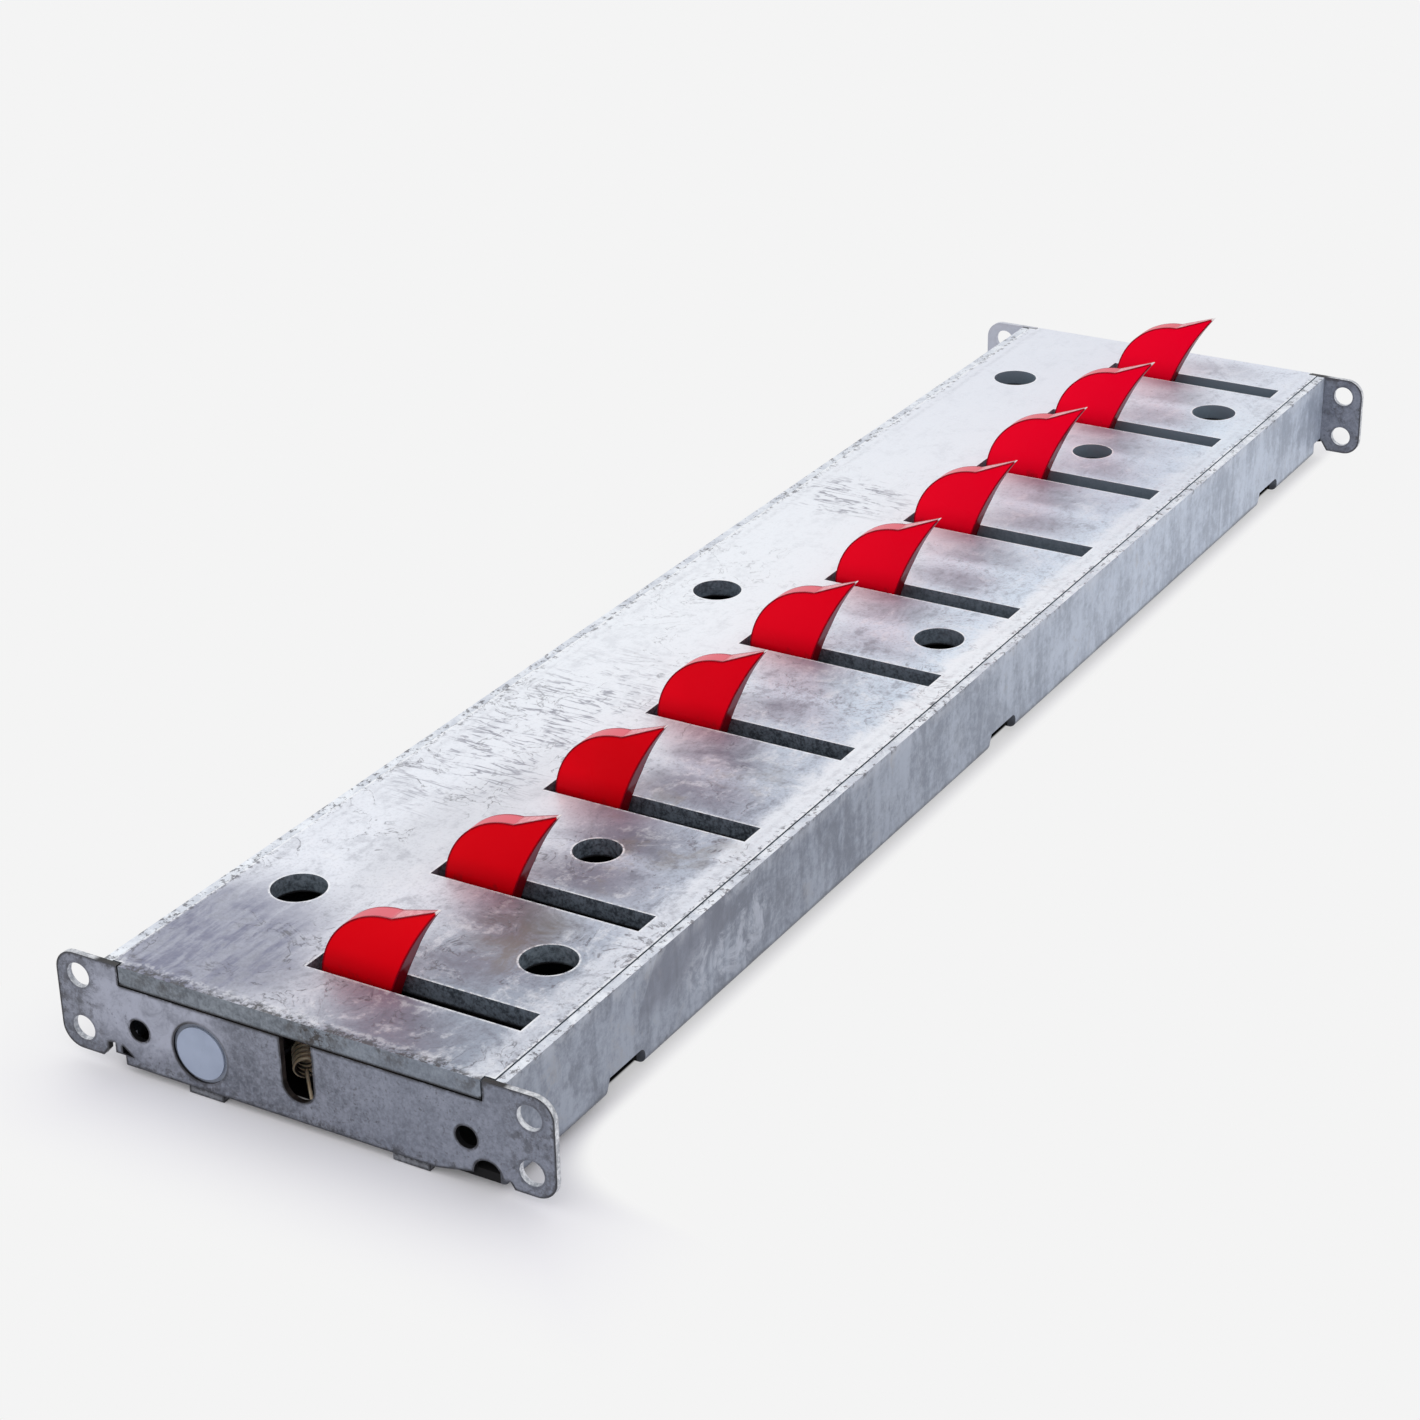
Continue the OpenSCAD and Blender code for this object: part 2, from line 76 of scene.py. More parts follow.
# A small builder for a material's nodes: a value that goes in is a socket or a number, and what comes
# out is a socket, apart from the node itself, the lists of axes and the finished material
class Shade:
    def __init__(self, name):
        self.mat = bpy.data.materials.new(name)
        self.mat.use_nodes = True
        self.tree = self.mat.node_tree
        self.tree.nodes.clear()
        self.out = self.tree.nodes.new("ShaderNodeOutputMaterial")
        self.coord = self.node("TexCoord").outputs["Object"]

    def node(self, kind, **props):
        n = self.tree.nodes.new("ShaderNode" + kind)
        for k, v in props.items():
            setattr(n, k, v)
        return n

    def put(self, n, key, value):
        if value is None:
            return
        if hasattr(value, "is_output"):
            self.tree.links.new(value, n.inputs[key])
        else:
            n.inputs[key].default_value = value

    def math(self, op, a, b=None):
        n = self.node("Math", operation=op)
        self.put(n, 0, a)
        self.put(n, 1, b)
        return n.outputs[0]

    def add(self, a, b):
        return self.math("ADD", a, b)

    def mul(self, a, b):
        return self.math("MULTIPLY", a, b)

    def most(self, a, b):
        return self.math("MAXIMUM", a, b)

    def absolute(self, a):
        return self.math("ABSOLUTE", a)

    def inverse(self, a):
        return self.math("SUBTRACT", 1.0, a)

    # A sum of pairs of value and weight
    def weighed(self, first, *others):
        share = self.mul(*first)
        return self.add(share, self.weighed(*others)) if others else share

    # The object's own coordinates, stretched and turned about Z
    def scaled(self, size, turn=0.0):
        n = self.node("Mapping")
        self.put(n, "Vector", self.coord)
        n.inputs["Scale"].default_value = size
        n.inputs["Rotation"].default_value = (0, 0, turn)
        return n.outputs[0]

    def noise(self, scale, detail=4.0, rough=0.55, bend=0.0, where=None):
        n = self.node("TexNoise")
        self.put(n, "Vector", where or self.coord)
        self.put(n, "Scale", scale)
        self.put(n, "Detail", detail)
        self.put(n, "Roughness", rough)
        self.put(n, "Distortion", bend)
        return n.outputs["Fac"]

    # A smooth step from one value to another between low and high
    def band(self, x, low, high, to_low=0.0, to_high=1.0):
        n = self.node("MapRange", interpolation_type="SMOOTHSTEP")
        self.put(n, "Value", x)
        self.put(n, "From Min", low)
        self.put(n, "From Max", high)
        self.put(n, "To Min", to_low)
        self.put(n, "To Max", to_high)
        return n.outputs[0]

    # 1 at the middle, 0 at a width to either side
    def bell(self, x, middle, width):
        d = self.absolute(self.math("SUBTRACT", x, middle))
        return self.band(d, 0.0, width, 1.0, 0.0)

    def mix(self, fac, a, b):
        n = self.node("Mix", data_type="RGBA")
        self.put(n, 0, fac)
        self.put(n, 6, (*a, 1) if isinstance(a, tuple) else a)
        self.put(n, 7, (*b, 1) if isinstance(b, tuple) else b)
        return n.outputs[2]

    # Lays a tint over a colour, where the mask is, at a share of its strength
    def coat(self, color, mask, share, tint):
        return self.mix(self.mul(mask, share), color, tint)

    def axes(self, socket=None):
        n = self.node("SeparateXYZ")
        self.put(n, 0, socket or self.coord)
        return n.outputs[:3]

    def normal(self):
        return self.axes(self.node("TexCoord").outputs["Normal"])

    # How far a face looks along the given axis, whichever way it points
    def facing(self, axis):
        return self.band(self.absolute(self.normal()[axis]), 0.45, 0.6)

    # A soft oval patch on two axes
    def spot(self, a, b, centre, radii, wobble=0.0):
        da = self.mul(self.add(a, -centre[0]), 1 / radii[0])
        db = self.mul(self.add(b, -centre[1]), 1 / radii[1])
        d = self.math("SQRT", self.add(self.mul(da, da), self.mul(db, db)))
        return self.band(self.add(d, wobble), 0.45, 1.15, 1.0, 0.0)

    # Thin wandering lines, where a noise passes its middle value
    def veins(self, scale, width):
        return self.bell(self.noise(scale, 4, 0.6, 0.8), 0.5, width)

    # A noise as an even shift up and down
    def stirred(self, noise, by):
        return self.mul(self.add(noise, -0.5), by)

    # The edges of a piece, outer and inner: there a rounded copy of the surface turns away from it
    def edges(self, radius=0.0026):
        rounded = self.node("Bevel", samples=8)
        self.put(rounded, "Radius", radius)
        along = self.node("VectorMath", operation="DOT_PRODUCT")
        self.put(along, 0, rounded.outputs[0])
        self.put(along, 1, self.node("NewGeometry").outputs["True Normal"])
        return self.band(along.outputs["Value"], EDGE_FROM, EDGE_FULL)

    def bump(self, height, strength, distance):
        n = self.node("Bump")
        self.put(n, "Strength", strength)
        self.put(n, "Distance", distance)
        self.put(n, "Height", height)
        return n.outputs[0]

    # The shader itself, with further sockets by name; returns the material
    def finish(self, color, rough, metal=0.0, normal=None, **more):
        n = self.node("BsdfPrincipled")
        self.put(n, "Base Color", color)
        self.put(n, "Roughness", rough)
        self.put(n, "Metallic", metal)
        self.put(n, "Normal", normal)
        for k, v in more.items():
            self.put(n, k.replace("_", " "), v)
        self.tree.links.new(n.outputs[0], self.out.inputs[0])
        return self.mat


# Hot-dip zinc: cloudy patches, fine speckle, small dark pits and, where asked for, painted shade along the
# edges
def zinc(name, light, dark, rough=(0.42, 0.62), metal=0.3, cloud=26.0, speckle=0.35, edge_shade=0.0):
    s = Shade(name)
    clouds = s.noise(cloud, 5, 0.6, 0.4)
    fine = s.noise(420, 3, 0.65)
    tone = s.weighed((s.band(clouds, 0.3, 0.7), 1 - speckle), (s.band(fine, 0.35, 0.68), speckle))
    pits = s.band(s.noise(230, 4, 0.7), 0.66, 0.74)
    color = s.coat(s.mix(tone, dark, light), pits, 0.45, tuple(c * 0.45 for c in dark))
    if edge_shade:
        ragged = s.band(s.noise(300, 4, 0.7), 0.60, 0.45, 0.3, 1.0)
        color = s.coat(color, s.mul(s.edges(), ragged), edge_shade, (0.015, 0.015, 0.018))
    height = s.weighed((clouds, 0.5), (fine, 0.3), (pits, -0.35))
    return s.finish(color, s.band(clouds, 0.3, 0.7, *rough), metal, s.bump(height, 0.35, 0.0006))


# The cover: a painted sheen, pale on the left and greyer between the slots, painted reflections and shade of
# the teeth, stains and scratches, ragged at the near edge
def cover_zinc():
    s = Shade("cover_zinc")
    x, y, z = s.axes()
    lengthwise, lateral = s.absolute(x), s.absolute(y)
    clouds = s.noise(9, 6, 0.62, 0.9)
    small = s.noise(42, 6, 0.68, 0.9)
    grain = s.noise(230, 4, 0.7, 0.3)
    fine = s.noise(620, 2, 0.6)
    crumbs = s.noise(260, 5, 0.75)
    brush = s.noise(1.0, 4, 0.65, 0.3, s.scaled((34, 190, 40), 0.35))
    drift = s.stirred(clouds, 0.9)
    wander = s.stirred(s.noise(80, 5, 0.7), 0.016)

    near_half = s.band(x, -0.42, 0.40, 1.0, 0.0)
    # Painted sheen: the left side, and a strip along the right edge as a painted highlight, take the pale
    # tone
    rim = s.mul(s.band(s.add(y, s.stirred(small, 0.02)), -0.084, -0.096), s.bell(x, -0.10, 0.85))
    left_sheen = s.most(s.band(s.add(y, s.mul(drift, 0.06)), -0.040, 0.030), rim)
    calm = s.mul(left_sheen, s.band(x, -0.46, -0.25, 0.35, 0.75))
    depth = s.mul(s.add(0.50, s.mul(near_half, 0.50)), s.inverse(calm))
    # Painted shade over the near left corner of the cover
    corner_shade = s.spot(x, y, (-0.466, 0.078), (0.075, 0.066), drift)
    cracks = s.mul(s.veins(42, 0.020), s.band(s.noise(17, 3, 0.6), 0.47, 0.56))
    cracks = s.mul(cracks, s.band(grain, 0.40, 0.56, 0.10, 1.0))
    near_edge = s.band(s.add(x, wander), -0.4992, -0.4930, 1.0, 0.0)
    ragged = s.mul(s.band(crumbs, 0.42, 0.56), near_edge)

    # The two tones of the top, a painted sheen, which change from the near end to the far one
    def sheen_tones():
        left = s.mix(s.bell(x, 0.0, 0.55), (0.77, 0.80, 0.88), (0.88, 0.915, 0.97))
        right = s.mix(s.band(x, -0.41, -0.36), (0.335, 0.38, 0.465), (0.475, 0.525, 0.625))
        right = s.mix(s.bell(x, -0.245, 0.06), right, (0.43, 0.475, 0.575))
        right = s.mix(s.band(x, -0.26, -0.02), right, (0.69, 0.79, 0.91))
        right = s.mix(s.band(x, 0.36, 0.44), right, (0.73, 0.78, 0.88))
        right = s.mix(s.bell(x, 0.25, 0.12), right, (0.61, 0.68, 0.80))
        haze = s.spot(x, y, (-0.310, 0.040), (0.110, 0.030), drift)
        return s.coat(s.mix(left_sheen, right, left), haze, 0.28, (0.45, 0.46, 0.50))

    # Painted reflections and shadows of the teeth between the slots and beside them, painted shade over the
    # near corner, and a darker patch at the near edge
    def reflected_and_shaded(color):
        bay = s.math("FRACT", s.mul(s.add(x, END_X), 1 / PITCH))
        drifting = s.add(bay, s.mul(drift, 0.2))
        # Painted reflection and shadow of the teeth, in each bay between the slots
        in_bay = s.mul(s.band(drifting, 0.56, 0.72), s.band(bay, 0.80, 1.0, 1.0, 0.0))
        ahead = s.mul(s.band(bay, 0.0, 0.10), s.band(bay, 0.22, 0.42, 1.0, 0.0))
        bay_reflection_shade = s.mul(s.most(in_bay, ahead), s.bell(s.add(y, s.mul(drift, 0.03)), -0.040, 0.050))
        bay_reflection_shade = s.mul(bay_reflection_shade, s.band(s.add(clouds, s.mul(small, 0.5)), 0.60, 0.86, 0.30, 1.0))
        color = s.coat(color, bay_reflection_shade, s.band(x, -0.40, 0.40, 0.95, 0.44), (0.20, 0.20, 0.26))
        # Painted shadow with a red reflection beside the base of each tooth
        tooth_shade_reflection = s.mul(s.bell(s.add(bay, s.mul(drift, 0.05)), 0.40, 0.20), s.bell(y, -0.026, 0.036))
        color = s.coat(color, tooth_shade_reflection, 0.70, (0.26, 0.15, 0.22))
        corner_shade_breakup = s.band(s.weighed((small, 0.5), (brush, 0.5)), 0.40, 0.60, 1.0, 0.62)
        color = s.coat(color, corner_shade, corner_shade_breakup, (0.19, 0.20, 0.29))
        near = s.spot(x, y, (-0.478, -0.015), (0.032, 0.090), drift)
        return s.coat(color, near, 0.32, (0.27, 0.28, 0.35))

    # Dark and bright mottling, brown clouds, cracks and specks, strongest at the near end
    def mottled(color):
        mottle = s.add(s.stirred(small, 0.75), s.add(s.stirred(brush, 0.30), s.stirred(grain, 0.4)))
        color = s.coat(color, s.band(mottle, 0.0, 0.17), s.mul(depth, 0.70), (0.20, 0.21, 0.26))
        bright = s.mul(s.mul(depth, 0.42), s.band(corner_shade, 0.0, 0.8, 1.0, 0.35))
        color = s.coat(color, s.band(mottle, -0.01, -0.17), bright, (0.92, 0.93, 0.97))
        color = s.coat(color, s.band(fine, 0.50, 0.66), s.mul(depth, 0.30), (0.18, 0.18, 0.22))
        between = s.spot(x, y, (-0.270, -0.055), (0.110, 0.045), drift)
        rust = s.mul(s.band(s.noise(24, 6, 0.7, 0.8), 0.50, 0.64), between)
        at_hole = s.spot(x, y, (-0.395, -0.060), (0.030, 0.030), drift)
        rust = s.most(rust, s.mul(s.band(small, 0.50, 0.62), at_hole))
        color = s.coat(color, rust, 0.55, (0.25, 0.225, 0.20))
        cloud = s.spot(x, y, (-0.380, -0.043), (0.032, 0.030), drift)
        cloud = s.mul(cloud, s.band(small, 0.36, 0.56, 0.35, 1.0))
        color = s.coat(color, cloud, 0.55, (0.18, 0.165, 0.16))
        color = s.coat(color, cracks, s.mul(near_half, 0.75), (0.13, 0.13, 0.15))
        speck = s.mul(s.band(s.noise(190, 5, 0.75), 0.61, 0.70), s.band(clouds, 0.40, 0.58))
        return s.coat(color, speck, s.mul(depth, 0.9), (0.14, 0.14, 0.17))

    # Two patches of fine slanting strokes on the left
    def scratched(color):
        strokes = s.bell(s.noise(1.0, 3, 0.55, 0.5, s.scaled((170, 30, 30), -0.22)), 0.5, 0.055)
        near = s.spot(x, y, (-0.205, 0.064), (0.108, 0.054), drift)
        far = s.spot(x, y, (0.160, 0.070), (0.035, 0.045))
        strokes = s.mul(s.mul(strokes, s.most(near, far)), s.band(s.noise(60, 4, 0.7), 0.40, 0.54))
        return s.coat(color, strokes, 0.85, (0.22, 0.22, 0.28))

    # The ragged near edge with a painted highlight along its lip, and the chipped long edges
    def bordered(color):
        color = s.coat(color, ragged, 0.92, (0.075, 0.075, 0.08))
        lip_highlight = s.mul(s.band(crumbs, 0.54, 0.44), s.bell(s.add(x, wander), -0.4945, 0.004))
        color = s.coat(color, lip_highlight, 0.4, (0.78, 0.80, 0.84))
        border = s.band(s.add(lateral, s.mul(wander, 0.5)), 0.1015, 0.1052)
        color = s.coat(color, s.mul(border, s.band(crumbs, 0.50, 0.62)), 0.85, (0.09, 0.09, 0.11))
        flecks = s.mul(s.bell(lateral, 0.0985, 0.003), s.band(crumbs, 0.42, 0.56))
        return s.coat(color, flecks, 0.15, (0.22, 0.22, 0.27))

    # The upright faces: gritty walls of slots and holes, and the knocked face of the tongue
    def sides():
        grit = s.band(s.weighed((grain, 0.6), (fine, 0.4)), 0.36, 0.62)
        cut = s.mix(grit, (0.042, 0.052, 0.066), (0.18, 0.215, 0.265))
        cut = s.mix(s.band(x, -0.20, 0.45), cut, (0.20, 0.25, 0.31))
        bored = s.spot(x, lateral, (-ACCESS[0], ACCESS[1]), (0.030, 0.030))
        cut = s.coat(cut, bored, 0.6, s.mix(grit, (0.09, 0.115, 0.14), (0.25, 0.30, 0.35)))
        broad = s.weighed((grain, 0.4), (small, 0.35), (fine, 0.25))
        tongue = s.mix(s.band(broad, 0.36, 0.64), (0.10, 0.115, 0.135), (0.25, 0.28, 0.315))
        tongue = s.mix(s.band(y, 0.02, -0.06, 0.0, 0.28), tongue, (0.30, 0.34, 0.42))
        lump = s.mul(s.band(s.noise(55, 6, 0.7), 0.52, 0.66), s.band(z, UNDER_Z, 0.056, 0.15, 1.0))
        knock = s.spot(y, z, (-0.012, 0.0525), (0.014, 0.008), s.stirred(grain, 1.2))
        knock = s.mul(knock, s.band(crumbs, 0.46, 0.56))
        tongue = s.coat(tongue, s.most(s.mul(lump, 0.85), knock), 0.9, (0.05, 0.043, 0.04))
        return s.mix(s.band(lengthwise, 0.4990, 0.4996), cut, tongue)

    # Painted highlights as bright broken lines round the top, painted shade round the underside, and the
    # underside painted black as shade
    def edged(color):
        edge = s.edges()
        edge_highlight = s.mul(s.mul(edge, s.facing(2)), s.band(lengthwise, 0.4985, 0.4970))
        color = s.coat(color, edge_highlight, s.band(crumbs, 0.60, 0.46, 0.10, 0.8), (0.93, 0.95, 0.98))
        color = s.coat(color, edge, s.band(z, UNDER_Z + 0.002, UNDER_Z + 0.001), SHADE_BLACK)
        return s.mix(s.band(z, UNDER_Z + 0.0002, UNDER_Z), color, SHADE_BLACK)

    top = bordered(scratched(mottled(reflected_and_shaded(sheen_tones()))))
    color = edged(s.mix(s.facing(2), sides(), top))
    height = s.weighed((small, 0.3), (grain, 0.15), (s.most(ragged, cracks), -0.5))
    rough = s.band(s.weighed((small, 0.6), (clouds, 0.4)), 0.35, 0.65, 0.30, 0.46)
    return s.finish(color, rough, 0.10, s.bump(height, 0.35, 0.0008), Specular_IOR_Level=0.18)


# The folded walls: bluish zinc, set darker than the cover as painted shade and paler towards the far end as
# painted light, with upright streaks and a top painted pale as a highlight
def wall_zinc():
    s = Shade("wall_zinc")
    x, y, z = s.axes()
    clouds = s.noise(13, 6, 0.62, 0.8)
    streak = s.noise(1.0, 5, 0.65, 0.5, s.scaled((95, 60, 20)))
    small = s.noise(55, 6, 0.7, 0.6)
    grain = s.noise(300, 4, 0.7)
    crumbs = s.noise(240, 5, 0.75)

    tone = s.band(s.weighed((clouds, 0.30), (streak, 0.28), (small, 0.22), (grain, 0.20)), 0.42, 0.58)
    # Painted light: the zinc grows paler towards the far end, and its tones are set darker than the cover's
    # as painted shade of the side
    farther_lit = s.band(x, -0.30, 0.30)
    light = s.mix(farther_lit, (0.32, 0.355, 0.43), (0.56, 0.625, 0.735))
    dark = s.mix(farther_lit, (0.155, 0.175, 0.225), (0.33, 0.375, 0.46))
    color = s.mix(tone, dark, light)
    warm = s.mul(s.band(small, 0.54, 0.68), s.band(clouds, 0.48, 0.62))
    color = s.coat(color, warm, 0.4, (0.31, 0.285, 0.265))

    # A dark smear that ends at a slanting line, and a pale scuff beside it
    smear = s.spot(x, z, (-0.350, 0.046), (0.060, 0.024), s.stirred(small, 0.9))
    smear = s.mul(s.band(s.add(x, s.mul(z, -0.75)), -0.4125, -0.4110), smear)
    smear = s.mul(smear, s.band(grain, 0.38, 0.60, 0.70, 1.0))
    color = s.coat(color, smear, 0.72, (0.125, 0.135, 0.18))
    scuff = s.mul(s.spot(x, z, (-0.300, 0.028), (0.055, 0.022)), s.band(small, 0.46, 0.62))
    color = s.coat(color, scuff, 0.6, (0.52, 0.55, 0.63))

    pale = s.mul(s.band(z, 0.047, 0.055), s.band(small, 0.38, 0.60))
    color = s.coat(color, pale, 0.30, (0.62, 0.64, 0.69))
    # Painted highlight: the upward top face is much paler than the sides
    top = s.mix(s.band(small, 0.35, 0.62), (0.86, 0.90, 0.96), (0.62, 0.66, 0.74))
    color = s.mix(s.mul(s.facing(2), s.band(z, 0.055, 0.056)), color, top)
    ragged_top = s.band(s.add(z, s.stirred(small, 0.004)), 0.0540, 0.0560)
    chips = s.mul(s.band(crumbs, 0.53, 0.62), ragged_top)
    color = s.coat(color, chips, 0.85, (0.12, 0.12, 0.14))
    # Painted shade along the foot of the wall
    low = s.band(s.add(z, s.stirred(small, 0.004)), 0.0055, 0.0090, 0.80, 0.0)
    color = s.mix(low, color, (0.075, 0.08, 0.10))
    # Painted shade on the faces that look along the strip, the end and notch faces
    color = s.coat(color, s.facing(0), 0.8, (0.045, 0.05, 0.062))

    inner = s.band(s.absolute(y), WALL_IN + 0.0002, WALL_IN - 0.0001)
    inside = s.mul(inner, s.band(z, WALL_TOP - 0.0005, WALL_TOP - 0.0008))
    color = s.mix(inside, color, UNLIT)
    height = s.weighed((small, 0.4), (grain, 0.25), (chips, -0.3))
    rough = s.most(s.band(small, 0.3, 0.7, 0.38, 0.52), inside)
    return s.finish(color, rough, 0.15, s.bump(height, 0.35, 0.0007), Specular_IOR_Level=0.45)


# The end plates: grey-blue zinc, set darker than the cover as painted shade, cloudy on the left, with painted
# shade along the edges and painted highlights on the hole rims of the ears
def plate_zinc():
    s = Shade("plate_zinc")
    x, y, z = s.axes()
    lateral = s.absolute(y)
    clouds = s.noise(20, 5, 0.62, 0.7)
    small = s.noise(75, 6, 0.7, 0.6)
    grain = s.noise(320, 4, 0.7)
    fine = s.noise(460, 4, 0.75, 0.3)
    crumbs = s.noise(140, 6, 0.75)

    tone = s.weighed((clouds, 0.30), (small, 0.38), (grain, 0.32))
    color = s.mix(s.band(tone, 0.39, 0.61), (0.095, 0.105, 0.135), (0.235, 0.25, 0.305))
    color = s.mix(s.band(fine, 0.50, 0.66, 0.0, 0.35), color, (0.045, 0.05, 0.068))
    color = s.mix(s.band(fine, 0.50, 0.34, 0.0, 0.30), color, (0.34, 0.37, 0.44))
    cloudy = s.spot(y, z, (0.088, 0.036), (0.050, 0.028), s.stirred(clouds, 1.2))
    color = s.coat(color, cloudy, s.band(small, 0.30, 0.60, 0.35, 0.8), (0.42, 0.44, 0.53))
    color = s.mix(s.band(y, 0.0, -0.06, 0.0, 0.24), color, (0.26, 0.29, 0.37))

    # Dirt along the rim and on the ears, a dark ring round the left of the bush that is painted shade
    # together with dirt, and pits
    top_and_foot = s.most(s.band(z, 0.0525, 0.0560), s.band(z, 0.0110, 0.0045))
    rim = s.most(s.band(lateral, 0.1325, 0.1375), top_and_foot)
    rim_and_ear = s.most(rim, s.mul(s.band(lateral, 0.108, 0.118), 0.6))
    dirt = s.mul(s.band(crumbs, 0.47, 0.60), rim_and_ear)
    color = s.coat(color, dirt, 0.9, (0.042, 0.042, 0.050))
    dy, dz = s.add(y, -PIVOT[0]), s.add(z, -PIVOT[1])
    from_shaft = s.math("SQRT", s.add(s.mul(dy, dy), s.mul(dz, dz)))
    ring_shade_and_dirt = s.mul(s.bell(from_shaft, 0.0160, 0.0016), s.band(crumbs, 0.38, 0.56))
    ring_shade_and_dirt = s.mul(ring_shade_and_dirt, s.band(y, 0.048, 0.064, 0.25, 1.0))
    color = s.coat(color, ring_shade_and_dirt, 0.8, (0.035, 0.033, 0.035))
    pits = s.band(s.noise(330, 4, 0.72), 0.56, 0.66)
    pits = s.mul(pits, s.most(s.mul(rim_and_ear, 0.9), s.band(clouds, 0.45, 0.60, 0.15, 0.6)))
    color = s.mix(pits, color, (0.04, 0.04, 0.05))

    # The narrow faces: painted shade, brownish in the spring openings and unlit in the other openings, and a
    # painted highlight in the ears
    face = s.facing(0)
    opening_shade = s.mix(s.band(small, 0.42, 0.60), (0.014, 0.011, 0.010), (0.050, 0.038, 0.034))
    opening_shade = s.mix(s.band(lateral, 0.060, 0.070), opening_shade, UNLIT)
    bright = s.mix(s.band(grain, 0.38, 0.62), (0.40, 0.42, 0.46), (0.80, 0.82, 0.86))
    color = s.mix(face, s.mix(s.band(lateral, 0.112, 0.116), opening_shade, bright), color)

    # Painted shade along the edges, fainter on the narrow faces, round the joining holes and round the right
    # of the bush
    edge_shade = s.mul(s.edges(0.0028), s.band(crumbs, 0.62, 0.50, 0.35, 0.92))
    edge_shade = s.mul(edge_shade, s.band(face, 0.0, 1.0, 0.3, 1.0))
    bolts = s.most(*[s.spot(lateral, z, (BOLT_Y, height), (0.0085, 0.0085)) for height in BOLT_HEIGHTS])
    edge_shade = s.mul(edge_shade, s.band(bolts, 0.1, 0.5, 1.0, 0.35))
    off_bush = s.most(s.band(from_shaft, 0.0150, 0.0185, 0.35, 1.0), s.band(y, 0.048, 0.064))
    color = s.coat(color, edge_shade, off_bush, (0.018, 0.018, 0.022))

    # The far plate is paler towards its left, and the inner faces of both stay dark
    far_end = s.band(x, 0.490, 0.495)
    color = s.coat(color, far_end, s.band(y, -0.112, 0.10, 0.05, 0.8), (0.60, 0.62, 0.70))
    inner = s.band(s.absolute(x), END_X - PLATE + 0.0004, END_X - PLATE + 0.0001)
    inside = s.mul(s.mul(inner, s.band(lateral, 0.1120, 0.1112)), face)
    color = s.mix(inside, color, UNLIT)
    height = s.weighed((small, 0.4), (grain, 0.3), (pits, -0.4))
    rough = s.most(s.band(small, 0.3, 0.7, 0.38, 0.54), inside)
    return s.finish(color, rough, 0.15, s.bump(height, 0.4, 0.0007), Specular_IOR_Level=0.45)


# Red enamel over a forged blank, with painted light: paler towards the far end, painted highlights on the
# crest and back, painted shade low down, in front and at the edges, and a tip worn pale with a painted
# highlight on it
def red_enamel():
    s = Shade("red_enamel")
    x, y, z = s.axes()
    ny, nz = s.normal()[1:]
    soft = s.noise(16, 3, 0.5)
    peel = s.noise(240, 2, 0.5)
    wear = s.noise(420, 3, 0.7)
    near_red = s.mix(s.band(soft, 0.3, 0.7), (0.74, 0.0, 0.003), (0.84, 0.0, 0.006))
    # Painted light: the red grows brighter towards the far end
    color = s.mix(s.band(x, -0.45, 0.45), near_red, (1.0, 0.0, 0.024))
    # Painted shade low on each tooth, near the cover
    low = s.mul(s.band(z, 0.072, 0.056), s.band(x, -0.4, 0.3, 0.55, 0.25))
    color = s.mix(low, color, (0.34, 0.0, 0.004))

    # Painted highlights on the upward faces: the back and the crest
    back_highlight = s.mix(s.band(z, 0.070, 0.096), (0.66, 0.01, 0.03), (0.78, 0.17, 0.21))
    crest_highlight = s.mix(s.band(wear, 0.35, 0.65), (0.70, 0.23, 0.27), (0.87, 0.43, 0.47))
    upward = s.band(nz, 0.30, 0.85)
    color = s.mix(upward, color, s.mix(s.band(y, -0.0225, -0.0265), back_highlight, crest_highlight))
    # Painted shade on the faces that look forward
    front_shade = s.mix(s.band(z, 0.0655, 0.0685), (0.17, 0.0, 0.004), (0.25, 0.07, 0.09))
    color = s.mix(s.band(ny, -0.40, -0.65), color, front_shade)
    # Painted shade along the edges
    edge = s.mul(s.edges(0.0022), s.band(wear, 0.30, 0.45, 0.6, 1.0))
    color = s.coat(color, edge, 0.80, (0.10, 0.0, 0.006))

    # How far a point lies towards the tip of its tooth
    reach = s.weighed((y, -0.925), (z, 0.380))
    # The tip: worn pale, with a painted highlight
    tip_wear_and_glint = s.mul(s.band(s.add(reach, s.stirred(wear, 0.001)), 0.0842, 0.0852), 0.95)
    color = s.mix(tip_wear_and_glint, color, (0.86, 0.80, 0.80))
    dust = s.mul(s.band(z, 0.062, 0.056), s.band(s.noise(110, 4, 0.7), 0.50, 0.66))
    color = s.coat(color, dust, 0.45, (0.10, 0.01, 0.012))
    rough = s.band(soft, 0.3, 0.7, 0.24, 0.34)
    return s.finish(color, rough, 0.0, s.bump(peel, 0.05, 0.0004), IOR=1.45, Specular_IOR_Level=0.04)


# Hazy nylon, with painted shade together with dirt in the groove round the face of an end bush, most so on
# its left
def nylon(name, light, dark):
    s = Shade(name)
    x, y = s.axes()[:2]
    haze = s.noise(60, 4, 0.55)
    fine = s.noise(700, 2, 0.5)
    color = s.mix(s.band(haze, 0.3, 0.72), dark, light)
    dirt = s.mul(s.band(s.noise(190, 5, 0.7), 0.60, 0.72), 0.2)
    color = s.mix(dirt, color, tuple(c * 0.6 for c in dark))
    groove_shade_and_dirt = s.mix(s.band(y, 0.046, 0.066), (0.16, 0.17, 0.20), (0.05, 0.05, 0.055))
    color = s.mix(s.band(s.absolute(x), 0.4992, 0.4985), color, groove_shade_and_dirt)
    return s.finish(color, s.band(haze, 0.3, 0.7, 0.40, 0.52), 0.0, s.bump(fine, 0.08, 0.0003))


